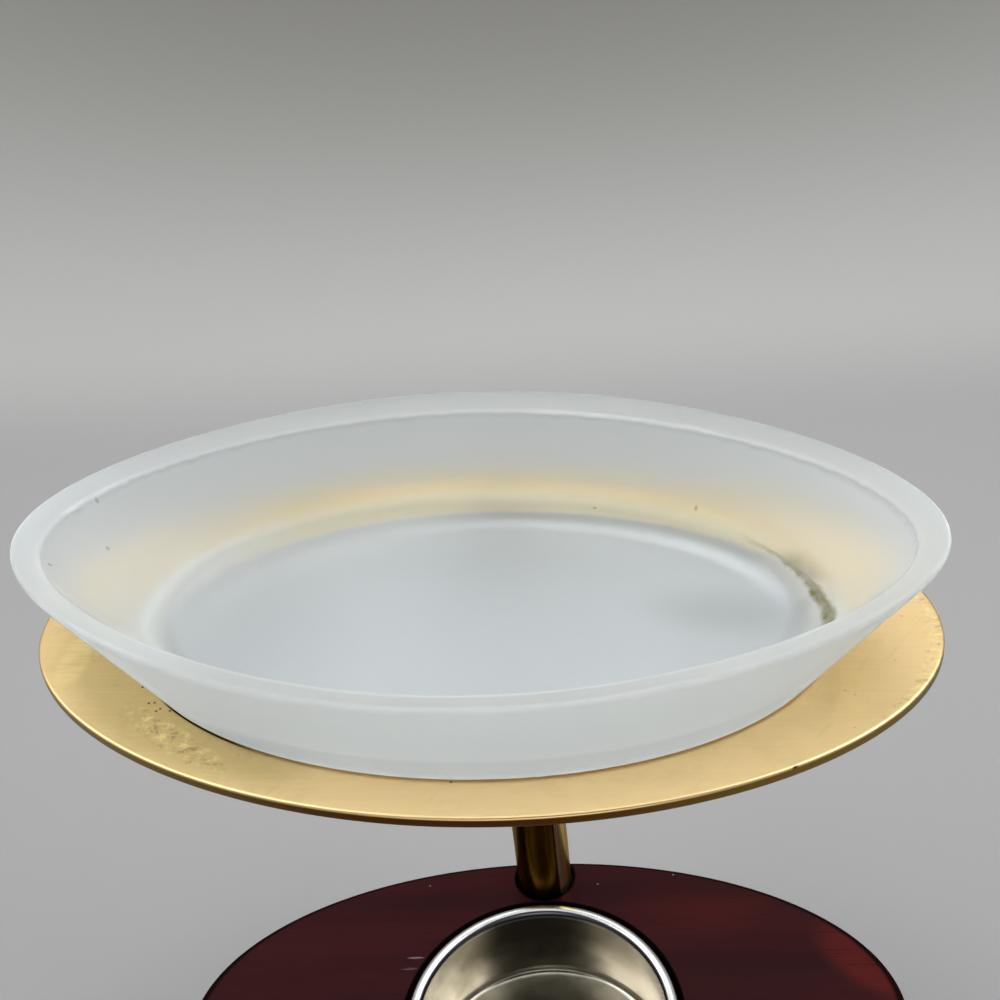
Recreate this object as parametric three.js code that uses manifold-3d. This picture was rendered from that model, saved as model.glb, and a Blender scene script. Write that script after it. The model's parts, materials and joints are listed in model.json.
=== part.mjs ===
// Oil burner: a glass dish on an oval brass ring, held over a tealight cup by one post in the back of a wooden base.
// Millimetres, +Z up. The origin is the middle of the felt's underside, +X runs along the oval, the post is on +Y.
import * as THREE from 'three';
import { mergeVertices } from 'three/addons/utils/BufferGeometryUtils.js';
import Module from 'manifold-3d';

const wasm = await Module();
wasm.setup();

// Clearances that every seat shares
const SEAT_GAP = 0.3; // a piece resting on or in another
const BORE_GAP = 0.3; // all round a screw in its hole
const CUP_GAP = 0.9; // round the cup's bead, in the base
const FLUTE_GAP = 0.6; // round the post, in the base
const SPIGOT_GAP = 0.6; // round the dish's spigot, in the ring

// Tealight cup
const CUP_BORE = 39.2; // inside diameter at the bead, for a common 38 mm tealight
const CUP_DEPTH = 16; // from the top of the base to the inside of the cup's floor
const CUP_WALL = 0.7;
const CUP_CORNER = 1.2; // inside radius where the wall meets the floor
const BEAD_RADIUS = 0.95; // rolled rim of the cup
const BEAD_RISE = -0.15; // bead's middle above the wood, or below it

// Support post
const POST_DIAMETER = 9;
const POST_INSET = 3.1; // post's axis in from the edge of the ring
const POST_FOOT = 0.6; // post's lower end above the underside of the wood
const POST_CHAMFER = 0.5;
const FLAME_HEIGHT = 82.2; // from the top of the base to the underside of the ring

// Wooden base
const OVAL_LENGTH = 113; // the base and the ring share one oval
const WEB = 0.4; // wood left between the cup's recess and the post's flute
const CUP_FLOOR_WOOD = 6.5; // wood under the cup's recess
const BASE_TOP_ROUND = 0.9;
const BASE_FOOT_ROUND = 0.6;
const FELT_THICKNESS = 1.2;
const FELT_INSET = 1.6;

// Brass ring
const RING_THICKNESS = 1.6;
const RING_END_WIDTH = 15.4; // from the oval's end to the hole
const RING_SIDE_WIDTH = 7.7; // from the oval's side to the hole
const RING_ROUND = 0.45;
const RING_TAPER = 0.05; // how far the oval's sides draw in towards its ends, 0 being a true ellipse

// Glass dish
const DISH_HEIGHT = 15.2;
const DISH_END_INSET = 0.4; // rim's ends in from the ends of the ring
const DISH_SIDE_INSET = 1.15; // rim's sides in from the sides of the ring
const DISH_TAPER = 0.155; // of the rim's oval
const DISH_FOOT_LAP = 2.2; // how far the foot lies on the ring
const DISH_RIM_WIDTH = 3.7;
const DISH_RIM_FALL = 1.1; // how far the rim's face drops towards the inside
const DISH_RIM_ROUND = 0.5;
const DISH_FLOOR = 3.6; // glass under the oil
const DISH_WALL_FOOT = 3.9; // glass between the foot's edge and the floor's edge
const DISH_FLOOR_ROUND = 2.6;
const DISH_SPIGOT = 1.1; // how far the underside drops into the ring's hole

// Screws, plain shanked with a countersunk slotted head
const POST_SCREW = { shank: 3.4, head: 6, length: 21 };
const RING_SCREW = { shank: 2.8, head: 4.6, length: 12 };
const HEAD_RIM = 0.35; // straight edge of a countersunk head
const SLOT_WIDTH = 0.7;
const SLOT_DEPTH = 0.5;
const TIP_LENGTH = 1.5;

// Pose in which the burner stands: the ring is turned a little about the post
const RING_TURN = THREE.MathUtils.degToRad(-4.2);

// Facets
const OVAL_STEPS = 96;
const ROUND_STEPS = 64;
const SMALL_STEPS = 32;

// Places worked out from the sizes above
const beadOuter = CUP_BORE / 2 + 2 * BEAD_RADIUS;
const recessRadius = beadOuter + CUP_GAP;
const recessDepth = CUP_DEPTH + CUP_WALL + SEAT_GAP;
const postRadius = POST_DIAMETER / 2;
const postY = recessRadius + WEB + SEAT_GAP + postRadius;
const fluteRadius = postRadius + FLUTE_GAP;
const fluteY = postY + FLUTE_GAP - SEAT_GAP;
const oval = { a: OVAL_LENGTH / 2, b: postY + POST_INSET };
const woodFoot = FELT_THICKNESS;
const woodTop = woodFoot + CUP_FLOOR_WOOD + recessDepth;
const postFoot = woodFoot + POST_FOOT;
const postTop = woodTop + FLAME_HEIGHT - SEAT_GAP;
const ringFoot = woodTop + FLAME_HEIGHT;
const ringTop = ringFoot + RING_THICKNESS;
const dishFoot = ringTop + SEAT_GAP;
const hole = { a: oval.a - RING_END_WIDTH, b: oval.b - RING_SIDE_WIDTH };
const postScrewZ = woodFoot + CUP_FLOOR_WOOD / 2;
const postScrewSeatY = postY + postRadius;

// A ring of the loft: an oval of half-axes a and b at height z, drawn in by inset
function section({ a, b }, z, inset = 0, taper = 0) {
  return { a: a - inset, b: b - inset, z, taper };
}

// A point of the oval x = a cos t, y = b sin t (1 - taper cos^2 t)
function ovalPoint({ a, b, z, taper }, turn) {
  const along = Math.cos(turn);
  const across = Math.sin(turn);
  return [a * along, b * across * (1 - taper * along ** 2), z];
}

// Skin over oval sections that run outwards from below, capped at both ends or closed on themselves
function loft(sections, { closed = false, steps = OVAL_STEPS } = {}) {
  const positions = [];
  const index = [];
  for (const ring of sections) {
    for (let step = 0; step < steps; step += 1) {
      positions.push(...ovalPoint(ring, (2 * Math.PI * step) / steps));
    }
  }
  const count = sections.length;
  const last = closed ? count : count - 1;
  for (let row = 0; row < last; row += 1) {
    const lower = row * steps;
    const upper = ((row + 1) % count) * steps;
    for (let step = 0; step < steps; step += 1) {
      const next = (step + 1) % steps;
      index.push(lower + step, lower + next, upper + next);
      index.push(lower + step, upper + next, upper + step);
    }
  }
  if (!closed) {
    const foot = positions.length / 3;
    positions.push(0, 0, sections[0].z, 0, 0, sections[count - 1].z);
    const top = (count - 1) * steps;
    for (let step = 0; step < steps; step += 1) {
      const next = (step + 1) % steps;
      index.push(foot, next, step);
      index.push(foot + 1, top + step, top + next);
    }
  }
  const geometry = new THREE.BufferGeometry();
  geometry.setAttribute('position', new THREE.Float32BufferAttribute(positions, 3));
  geometry.setIndex(index);
  return geometry;
}

// Body turned about Z from a profile of [radius, height] that runs outwards from below
function turned(profile, steps = ROUND_STEPS) {
  const points = profile.map(([radius, height]) => new THREE.Vector2(radius, height));
  return new THREE.LatheGeometry(points, steps).rotateX(Math.PI / 2);
}

// Points of a quarter round in a profile, from one angle to another about a centre
function arc(centreRadius, centreHeight, radius, from, to, steps) {
  const points = [];
  for (let step = 0; step <= steps; step += 1) {
    const angle = THREE.MathUtils.degToRad(from + ((to - from) * step) / steps);
    points.push([centreRadius + radius * Math.cos(angle), centreHeight + radius * Math.sin(angle)]);
  }
  return points;
}

// Closed solid of a geometry, with shared corners merged and collapsed faces left out
function solid(geometry) {
  const bare = geometry.clone();
  bare.deleteAttribute('normal');
  bare.deleteAttribute('uv');
  const merged = mergeVertices(bare, 1e-4);
  const corners = merged.index.array;
  const faces = [];
  for (let face = 0; face < corners.length; face += 3) {
    const [i, j, k] = corners.slice(face, face + 3);
    if (i !== j && j !== k && k !== i) faces.push(i, j, k);
  }
  const vertProperties = new Float32Array(merged.attributes.position.array);
  return new wasm.Manifold(new wasm.Mesh({ numProp: 3, vertProperties, triVerts: new Uint32Array(faces) }));
}

// Geometry of a solid
function shape(body) {
  const mesh = body.getMesh();
  const geometry = new THREE.BufferGeometry();
  geometry.setAttribute('position', new THREE.Float32BufferAttribute(mesh.vertProperties, 3));
  geometry.setIndex(Array.from(mesh.triVerts));
  geometry.computeVertexNormals();
  return geometry;
}

// Body left when tools are cut out of a geometry
function cut(geometry, tools) {
  const body = tools.reduce((rest, tool) => rest.subtract(solid(tool)), solid(geometry));
  return shape(body);
}

// Half angle of 45 degrees: the cone of a countersunk head is as deep as it narrows
function coneDepth({ shank, head }) {
  return (head - shank) / 2;
}

// Screw with its head's face at z = 0 and its shank running down
function screw(size) {
  const { shank, head, length } = size;
  const tipRadius = shank / 4;
  const body = turned([
    [0, -length],
    [tipRadius, -length],
    [shank / 2, -length + TIP_LENGTH],
    [shank / 2, -HEAD_RIM - coneDepth(size)],
    [head / 2, -HEAD_RIM],
    [head / 2, 0],
    [0, 0],
  ], SMALL_STEPS);
  const slot = new THREE.BoxGeometry(2 * head, SLOT_WIDTH, 2 * SLOT_DEPTH);
  return cut(body, [slot]);
}

// Hole for that screw, with its countersink, a gap all round and room above the head
function screwHole(size, room) {
  const { shank, head, length } = size;
  return turned([
    [0, -length - BORE_GAP],
    [shank / 2 + BORE_GAP, -length - BORE_GAP],
    [shank / 2 + BORE_GAP, -HEAD_RIM - coneDepth(size) - BORE_GAP],
    [head / 2 + BORE_GAP, -HEAD_RIM - BORE_GAP],
    [head / 2 + BORE_GAP, room],
    [0, room],
  ], SMALL_STEPS);
}

// Base plate of felt glued under the wood
function makeFelt() {
  const rim = section(oval, 0, FELT_INSET);
  return loft([rim, { ...rim, z: FELT_THICKNESS }]);
}

// The screw through the post enters from behind and lies along -Y
function layBehind(geometry) {
  return geometry.rotateX(-Math.PI / 2).translate(0, postScrewSeatY, postScrewZ);
}

// Wooden base: an oval block with the cup's recess, the post's flute in its back edge and the screw's pilot hole
function makeBase() {
  const rounded = (z, radius, sign) => arc(0, 0, radius, 90 * sign, 0, 4)
    .map(([out, up]) => section(oval, z + up, radius - out));
  const foot = rounded(woodFoot + BASE_FOOT_ROUND, BASE_FOOT_ROUND, -1);
  const top = rounded(woodTop - BASE_TOP_ROUND, BASE_TOP_ROUND, 1).reverse();
  const block = loft([...foot, ...top]);
  const recess = new THREE.CylinderGeometry(recessRadius, recessRadius, 2 * recessDepth, ROUND_STEPS)
    .rotateX(Math.PI / 2).translate(0, 0, woodTop);
  const flute = new THREE.CylinderGeometry(fluteRadius, fluteRadius, 4 * woodTop, SMALL_STEPS)
    .rotateX(Math.PI / 2).translate(0, fluteY, woodTop);
  const pilot = layBehind(screwHole(POST_SCREW, oval.b));
  return cut(block, [recess, flute, pilot]);
}

// Tealight cup: drawn metal with a rolled bead, standing on the floor of the recess
function makeCup() {
  const bore = CUP_BORE / 2;
  const inside = bore + BEAD_RADIUS - CUP_WALL / 2;
  const outside = inside + CUP_WALL;
  const floor = woodTop - CUP_DEPTH;
  const beadMiddle = woodTop + BEAD_RISE;
  const lowerCorner = CUP_CORNER + CUP_WALL;
  const neck = Math.sqrt(BEAD_RADIUS ** 2 - (CUP_WALL / 2) ** 2);
  const swing = THREE.MathUtils.radToDeg(Math.asin(CUP_WALL / 2 / BEAD_RADIUS));
  return turned([
    [0, floor - CUP_WALL],
    ...arc(outside - lowerCorner, floor - CUP_WALL + lowerCorner, lowerCorner, -90, 0, 4),
    [outside, beadMiddle - neck],
    ...arc(bore + BEAD_RADIUS, beadMiddle, BEAD_RADIUS, -90 + swing, 270 - swing, 10).slice(1, -1),
    [inside, beadMiddle - neck],
    ...arc(inside - CUP_CORNER, floor + CUP_CORNER, CUP_CORNER, 0, -90, 4),
    [0, floor],
  ]);
}

// Support post: a brass rod with a cross hole for its own screw and a tapped hole in its upper end
function makePost() {
  const rod = turned([
    [0, postFoot],
    [postRadius - POST_CHAMFER, postFoot],
    [postRadius, postFoot + POST_CHAMFER],
    [postRadius, postTop],
    [0, postTop],
  ], SMALL_STEPS).translate(0, postY, 0);
  const cross = layBehind(screwHole(POST_SCREW, postRadius));
  const tapped = screwHole(RING_SCREW, RING_THICKNESS).translate(0, postY, ringTop);
  return cut(rod, [cross, tapped]);
}

// Brass ring: an oval plate with an oval hole under the dish, pierced and countersunk over the post
function makeRing() {
  const outline = (z, inset) => section(oval, z, inset, RING_TAPER);
  const opening = (z, inset) => section(hole, z, -inset);
  const plate = loft([
    outline(ringFoot, RING_ROUND),
    outline(ringFoot + RING_ROUND, 0),
    outline(ringTop - RING_ROUND, 0),
    outline(ringTop - 0.3 * RING_ROUND, 0.3 * RING_ROUND),
    outline(ringTop, RING_ROUND),
    opening(ringTop, RING_ROUND),
    opening(ringTop - RING_ROUND, 0),
    opening(ringFoot, 0),
  ], { closed: true });
  const pierced = screwHole(RING_SCREW, RING_THICKNESS).translate(0, postY, ringTop);
  return cut(plate, [pierced]);
}

// Glass dish: walls flare from an elliptical foot to a more pointed rim whose face falls inwards
function makeDish() {
  const rim = { a: oval.a - DISH_END_INSET, b: oval.b - DISH_SIDE_INSET };
  const foot = { a: hole.a + DISH_FOOT_LAP, b: hole.b + DISH_FOOT_LAP };
  const spigot = (z) => section(hole, z, SPIGOT_GAP);
  const rimTop = dishFoot + DISH_HEIGHT;
  const floorTop = dishFoot + DISH_FLOOR;
  const innerRim = section(rim, rimTop - DISH_RIM_FALL - DISH_RIM_ROUND, DISH_RIM_WIDTH, DISH_TAPER);
  const innerFoot = section(foot, floorTop, DISH_WALL_FOOT);
  const between = (low, high, share) => ({
    a: THREE.MathUtils.lerp(low.a, high.a, share),
    b: THREE.MathUtils.lerp(low.b, high.b, share),
    z: THREE.MathUtils.lerp(low.z, high.z, share),
    taper: THREE.MathUtils.lerp(low.taper, high.taper, share),
  });
  const outerFoot = section(foot, dishFoot);
  const outerRim = section(rim, rimTop - DISH_RIM_ROUND, 0, DISH_TAPER);
  const walls = [0.25, 0.5, 0.75];
  const filletShare = DISH_FLOOR_ROUND / (innerRim.z - innerFoot.z);
  const wallFoot = between(innerFoot, innerRim, filletShare);
  const floorEdge = section(innerFoot, floorTop, DISH_FLOOR_ROUND);
  const fillet = [0.25, 0.5, 0.75].map((share) => {
    const down = between(wallFoot, innerFoot, share);
    const along = between(innerFoot, floorEdge, share);
    return between(down, along, share);
  });
  return loft([
    spigot(dishFoot - SEAT_GAP - DISH_SPIGOT),
    spigot(dishFoot),
    outerFoot,
    ...walls.map((share) => between(outerFoot, outerRim, share)),
    outerRim,
    section(rim, rimTop, DISH_RIM_ROUND, DISH_TAPER),
    section(rim, rimTop - DISH_RIM_FALL, DISH_RIM_WIDTH - DISH_RIM_ROUND, DISH_TAPER),
    innerRim,
    ...[0.75, 0.5].map((share) => between(wallFoot, innerRim, share)),
    wallFoot,
    ...fillet,
    floorEdge,
  ]);
}

function finish(color, roughness, metalness) {
  return new THREE.MeshStandardMaterial({ color, roughness, metalness });
}

const lacqueredWood = finish('#4a1f1b', 0.3, 0);
const darkFelt = finish('#2b2a28', 0.95, 0);
const polishedTin = finish('#c9c8c4', 0.2, 1);
const agedBrass = finish('#b8944f', 0.35, 1);
const frostedGlass = finish('#d5dddb', 0.55, 0);

function piece(name, geometry, material) {
  const mesh = new THREE.Mesh(geometry, material);
  mesh.name = name;
  return mesh;
}

// The ring and the dish turn about the post, so their group stands on its axis
const swivel = new THREE.Group();
swivel.position.y = postY;
swivel.rotation.z = RING_TURN;
swivel.add(
  piece('ring_plate', makeRing().translate(0, -postY, 0), agedBrass),
  piece('glass_dish', makeDish().translate(0, -postY, 0), frostedGlass),
);

const burner = new THREE.Group();
burner.add(
  piece('base_felt', makeFelt(), darkFelt),
  piece('wooden_base', makeBase(), lacqueredWood),
  piece('tealight_cup', makeCup(), polishedTin),
  piece('support_post', makePost(), agedBrass),
  piece('post_screw', layBehind(screw(POST_SCREW)), agedBrass),
  piece('ring_screw', screw(RING_SCREW).translate(0, postY, ringTop), agedBrass),
  swivel,
);

export default burner;
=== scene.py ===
"""Dresses the oil burner: frosted glass, satin brass, lacquered wood, bright tin and felt.

Every piece is a surface worked out on a grid with numpy, in metres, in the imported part's own frame.
It rides on the CAD body that it belongs to and stands for the CAD node of the same form.
"""

import json
import logging
import math
from collections.abc import Callable
from dataclasses import dataclass
from enum import Enum
from functools import reduce
from operator import or_
from typing import Any

import bpy
import numpy as np
from mathutils import Matrix, Vector


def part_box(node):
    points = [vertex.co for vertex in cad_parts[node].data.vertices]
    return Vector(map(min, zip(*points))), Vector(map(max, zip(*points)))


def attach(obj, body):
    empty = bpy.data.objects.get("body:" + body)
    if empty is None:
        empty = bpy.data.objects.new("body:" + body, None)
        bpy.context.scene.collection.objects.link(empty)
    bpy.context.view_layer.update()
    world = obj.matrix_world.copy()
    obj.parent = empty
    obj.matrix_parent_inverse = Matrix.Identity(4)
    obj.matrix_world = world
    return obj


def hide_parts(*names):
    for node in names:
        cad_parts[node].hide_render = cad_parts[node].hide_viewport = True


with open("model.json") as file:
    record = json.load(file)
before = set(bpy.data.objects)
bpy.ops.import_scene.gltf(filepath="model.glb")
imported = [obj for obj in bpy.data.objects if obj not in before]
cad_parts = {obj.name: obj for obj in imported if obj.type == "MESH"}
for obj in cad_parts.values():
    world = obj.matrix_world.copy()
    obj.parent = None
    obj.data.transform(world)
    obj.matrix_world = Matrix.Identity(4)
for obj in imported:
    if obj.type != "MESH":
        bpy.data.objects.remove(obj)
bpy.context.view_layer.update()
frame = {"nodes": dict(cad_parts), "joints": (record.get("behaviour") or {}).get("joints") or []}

Piece = bpy.types.Object
Pair = tuple[float, float]
Triple = tuple[float, float, float]
Tone = tuple[float, float, float, float]
MM = 0.001
TINY = 1e-9
WIDEST_BEAM = 179.0
FULL_TURN = 2 * math.pi
WHITE = (1, 1, 1, 1)
log = logging.getLogger("oil_burner")


class Body(Enum):
    """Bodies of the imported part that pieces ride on."""

    BASE = "base"
    CUP = "cup"
    PLATE = "plate"
    DISH = "dish"


class Slot(Enum):
    """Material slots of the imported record."""

    FELT = "felt"
    WOOD = "lacquered_wood"
    TIN = "cup_metal"
    BRASS = "brass"
    SCREWS = "brass_screws"
    GLASS = "frosted_glass"


class Blend(Enum):
    """Ways of mixing two colours."""

    OVER = "MIX"
    TINT = "MULTIPLY"


def mm(*lengths: float) -> tuple[float, ...]:
    """Lengths in metres of lengths in millimetres."""
    return tuple(length * MM for length in lengths)


def tone(red: int, green: int, blue: int) -> Tone:
    """Linear colour of a display colour, by the sRGB curve.

    Args:
        red, green, blue: Parts of the colour, from 0 to 255.

    Returns:
        The linear red, green and blue, and an alpha of 1.
    """
    shares = np.array([red, green, blue]) / 255
    linear = np.where(shares <= 0.04045, shares / 12.92, ((shares + 0.055) / 1.055) ** 2.4)
    return (*map(float, linear), 1.0)


def combining(operation: str, reflected: bool = False) -> Callable[["Signal", Any], "Signal"]:
    """An operator of a signal that adds a Math node.

    Args:
        operation: Blender's name of the operation.
        reflected: Whether the other value comes first.

    Returns:
        The operator's method.
    """
    def combined(this: "Signal", other: Any) -> "Signal":
        """The operation's result on two values or signals."""
        first, second = (other, this) if reflected else (this, other)
        return this.recipe.node("ShaderNodeMath", {"operation": operation}, {0: first, 1: second})

    return combined


class Signal:
    """An output socket of a node tree. Arithmetic on it adds Math nodes.

    a | b is the larger of the two, which joins two masks, and a > b is 1 where a is above b, else 0.
    """

    def __init__(self, recipe: "Recipe", socket: bpy.types.NodeSocket) -> None:
        """Keeps the recipe whose tree the socket is in."""
        self.recipe = recipe
        self.socket = socket

    __add__, __radd__ = combining("ADD"), combining("ADD", True)
    __sub__, __rsub__ = combining("SUBTRACT"), combining("SUBTRACT", True)
    __mul__, __rmul__ = combining("MULTIPLY"), combining("MULTIPLY", True)
    __truediv__, __rtruediv__ = combining("DIVIDE"), combining("DIVIDE", True)
    __or__, __ror__ = combining("MAXIMUM"), combining("MAXIMUM", True)
    __gt__ = combining("GREATER_THAN")

    def __abs__(self) -> "Signal":
        """Its size without its sign."""
        return self.recipe.node("ShaderNodeMath", {"operation": "ABSOLUTE"}, {0: self})

    def ease(self, low: float, high: float) -> "Signal":
        """A soft step from 0 at low to 1 at high, where low may be the larger."""
        return self.recipe.node("ShaderNodeMapRange", {"interpolation_type": "SMOOTHSTEP"},
                                {"Value": self, "From Min": low, "From Max": high})

    def span(self, low: float, high: float) -> "Signal":
        """A soft step between two lengths in millimetres."""
        return self.ease(*mm(low, high))

    def line(self, at: float, reach: float) -> "Signal":
        """A soft line where this is near a level."""
        return abs(self - at).ease(reach, 0.25 * reach)


class Place(Signal):
    """Coordinates, and the patterns that lie in them."""

    def vector(self, operation: str, sockets: dict[int, Any], output: Any = 0) -> Signal:
        """A Vector Math node of these coordinates and what else its sockets take."""
        settings = {"operation": operation}
        return self.recipe.node("ShaderNodeVectorMath", settings, {0: self} | sockets, output)

    def moved(
        self,
        middle: tuple = (0, 0, 0),
        turn: float = 0.0,
        scale: tuple = (1, 1, 1),
    ) -> "Place":
        """Coordinates about a middle, turned about the vertical and stretched.

        Args:
            middle: The point that becomes the origin.
            turn: Angle of the new first axis, in radians.
            scale: Factors along the three new axes.

        Returns:
            The new coordinates.
        """
        sockets = {"Vector": self, "Location": middle, "Rotation": (0, 0, turn)}
        centred = self.recipe.node("ShaderNodeMapping", {"vector_type": "TEXTURE"}, sockets)
        return Place.of(Place.of(centred).vector("MULTIPLY", {1: scale}))

    @classmethod
    def of(cls, signal: Signal) -> "Place":
        """A signal of vectors as coordinates."""
        return cls(signal.recipe, signal.socket)

    def axis(self, name: str) -> Signal:
        """One coordinate, X, Y or Z."""
        return self.recipe.node("ShaderNodeSeparateXYZ", None, {0: self}, name)

    def noise(self, scale: float = 1, detail: float = 2, rough: float = 0.5) -> Signal:
        """Cloudy noise about 0.5 in size."""
        return self.recipe.node("ShaderNodeTexNoise", None,
                                {"Vector": self, "Scale": scale, "Detail": detail, "Roughness": rough})

    def dots(self, scale: float, share: float, size: float) -> Signal:
        """Round specks in a share of the cells of a scatter.

        Args:
            scale: Cells to the metre.
            share: Part of the cells that hold a speck.
            size: Speck's radius as a part of a cell.

        Returns:
            1 in a speck, falling to 0 at its edge.
        """
        sockets = {"Vector": self, "Scale": scale}
        near, cell = (
            self.recipe.node("ShaderNodeTexVoronoi", {"feature": "F1"}, sockets, output)
            for output in ("Distance", "Color")
        )
        picked = Place.of(cell).axis("X") > 1 - share
        return near.ease(size, 0.6 * size) * picked

    def oval(self, place: tuple, along: float, across: float, turn: float = 0.0) -> Signal:
        """Distance from a place seen from above, which is 1 on an oval of two half axes."""
        scale = (1 / along, 1 / across, 0)
        return self.moved((*place, 0), math.radians(turn), scale).vector("LENGTH", {}, "Value")

    def stroke(self, place: tuple, along: float, across: float, turn: float = 0.0) -> Signal:
        """A long soft spot seen from above.

        Args:
            place: Middle of x and y, in metres.
            along, across: Half length and half width.
            turn: Angle of its length, in degrees.

        Returns:
            1 along its middle, falling to 0 at its edge.
        """
        return self.oval(place, along, across, turn).ease(1.0, 0.5)

    def strokes(self, places: tuple, along: float, across: float) -> Signal:
        """Long soft spots of one size at several places."""
        return reduce(or_, [self.stroke(place, along, across) for place in places])

    def spots(self, places: tuple, radius: float) -> Signal:
        """Round soft spots seen from above."""
        return self.strokes(places, radius, radius)


class Recipe:
    """A node tree that a finish or the world is written into."""

    def __init__(self, tree: bpy.types.NodeTree) -> None:
        """Empties the tree."""
        self.tree = tree
        tree.nodes.clear()

    def node(
        self,
        kind: str,
        settings: dict[str, Any] | None = None,
        sockets: dict[Any, Any] | None = None,
        output: Any = 0,
    ) -> Signal:
        """Adds one node.

        Args:
            kind: Blender's name of the node's type.
            settings: The node's own settings, set first. "stops" are a ramp's places and colours.
            sockets: Values or signals of its inputs, by name or number.
            output: Name or number of the output that is wanted.

        Returns:
            That output, or a signal without a socket where the node has none.
        """
        made = self.tree.nodes.new(kind)
        for key, value in (settings or {}).items():
            if key == "stops":
                elements = made.color_ramp.elements
                while len(elements) < len(value):
                    elements.new(1.0)
                for element, (place, colour) in zip(elements, value):
                    element.position = place
                    element.color = colour
            else:
                setattr(made, key, value)
        for key, value in (sockets or {}).items():
            if isinstance(value, Signal):
                self.tree.links.new(value.socket, made.inputs[key])
            else:
                made.inputs[key].default_value = value
        return Signal(self, made.outputs[output] if made.outputs else None)

    def place(self) -> Place:
        """Object coordinates, which are the part's own frame."""
        return Place.of(self.node("ShaderNodeTexCoord", output="Object"))

    def attribute(self, name: str) -> Signal:
        """Values that a piece keeps at its points."""
        return self.node("ShaderNodeAttribute", {"attribute_name": name}, output="Fac")

    def mix(self, share: Any, first: Any, second: Any, blend: Blend = Blend.OVER) -> Signal:
        """Mixes two colours.

        Args:
            share: How much of the second there is.
            first, second: Colours or signals.
            blend: Way of mixing.

        Returns:
            The mixed colour.
        """
        settings = {"data_type": "RGBA", "blend_type": blend.value, "clamp_factor": True}
        return self.node("ShaderNodeMix", settings, {0: share, 6: first, 7: second}, 2)

    def layered(self, ground: Any, *coats: tuple[Any, Any]) -> Signal:
        """Lays coats over a ground colour in turn, each a share and a colour."""
        return reduce(lambda under, coat: self.mix(coat[0], under, coat[1]), coats, ground)

    def relief(
        self,
        height: Signal,
        depth: float,
        strength: float,
        under: Signal | None = None,
    ) -> Signal:
        """Normal of a surface whose height varies.

        Args:
            height: Signal from 0 to 1.
            depth: Height of 1, in metres.
            strength: How much of it shows.
            under: Normal of a coarser relief below it.

        Returns:
            The bumped normal.
        """
        sockets = {"Height": height, "Distance": depth, "Strength": strength}
        if under is not None:
            sockets["Normal"] = under
        return self.node("ShaderNodeBump", None, sockets)

    def surface(self, shader: Signal) -> None:
        """Ends the tree in its surface shader."""
        self.node("ShaderNodeOutputMaterial", None, {"Surface": shader})

    def principled(self, sockets: dict[str, Any]) -> Signal:
        """The general surface shader."""
        return self.node("ShaderNodeBsdfPrincipled", None, sockets)

    def dress(self, sockets: dict[str, Any]) -> None:
        """Ends the tree in the general surface shader."""
        self.surface(self.principled(sockets))


class Finish:
    """A finish that writes its own material."""

    name = "finish"

    def material(self) -> bpy.types.Material:
        """The finish as a Blender material.

        Returns:
            The material with its nodes.
        """
        made = bpy.data.materials.new(self.name)
        made.use_nodes = True
        self.write(Recipe(made.node_tree))
        return made

    def write(self, recipe: Recipe) -> None:
        """Writes the nodes. Each finish has its own."""
        raise NotImplementedError


def node_points(node: str) -> np.ndarray:
    """Corners of a CAD node at rest.

    Args:
        node: The node's name.

    Returns:
        One row of x, y and z for each corner, in metres.
    """
    vertices = frame["nodes"][node].data.vertices
    flat = np.empty(3 * len(vertices))
    vertices.foreach_get("co", flat)
    return flat.reshape(-1, 3)


@dataclass(frozen=True)
class Swivel:
    """The post's axis, and the turn about it at which the ring and the dish stand."""

    axis: float
    turn: float

    @classmethod
    def from_frame(cls) -> "Swivel":
        """Reads the post's axis from its joint, and the turn as the long axis of the ring's corners.

        Returns:
            The swivel at rest.
        """
        joint = next(j for j in frame["joints"] if j["name"] == "plate_swivel")
        spread = np.cov(node_points("ring_plate")[:, :2].T)
        turn = 0.5 * math.atan2(2 * spread[0, 1], spread[0, 0] - spread[1, 1])
        return cls(joint["pos_m"][1], turn)

    def carry(self, points: np.ndarray, back: bool = False) -> np.ndarray:
        """Turns points about the post.

        Args:
            points: Array whose last axis is x, y and z.
            back: Whether to undo the turn instead.

        Returns:
            The turned points.
        """
        angle = -self.turn if back else self.turn
        spin = np.array(Matrix.Rotation(angle, 3, "Z"))
        axis = np.array([0, self.axis, 0])
        return (points - axis) @ spin.T + axis

    def middle(self) -> Triple:
        """Where the middle of the ring lies."""
        return tuple(map(float, self.carry(np.zeros(3))))


def section(a: float, b: float, z: float, taper: float = 0.0) -> np.ndarray:
    """An oval of a loft as a row of half length, half width, taper and height."""
    return np.array([a, b, taper, z])


def drawn_in(row: np.ndarray, by: float, lift: float = 0.0) -> np.ndarray:
    """The same oval with its edge drawn in, and lifted."""
    return row + np.array([-by, -by, 0, lift])


def straight(start: np.ndarray, end: np.ndarray, count: int) -> np.ndarray:
    """Rows on the straight line from start to end, without the end."""
    share = np.linspace(0, 1, count, endpoint=False)[:, None]
    return start + (end - start) * share


def rounded(start: np.ndarray, corner: np.ndarray, end: np.ndarray, count: int) -> np.ndarray:
    """Rows of a rounded corner without its end: (1-s)^2 start + 2s(1-s) corner + s^2 end."""
    share = np.linspace(0, 1, count, endpoint=False)[:, None]
    return (1 - share) ** 2 * start + 2 * share * (1 - share) * corner + share ** 2 * end


def arc(middle: Pair, radius: float, first: float, last: float, count: int) -> np.ndarray:
    """Points of a circle in a profile: middle + radius (cos, sin) of each angle in degrees."""
    angles = np.radians(np.linspace(first, last, count))
    return np.array(middle) + radius * np.column_stack([np.cos(angles), np.sin(angles)])


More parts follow.
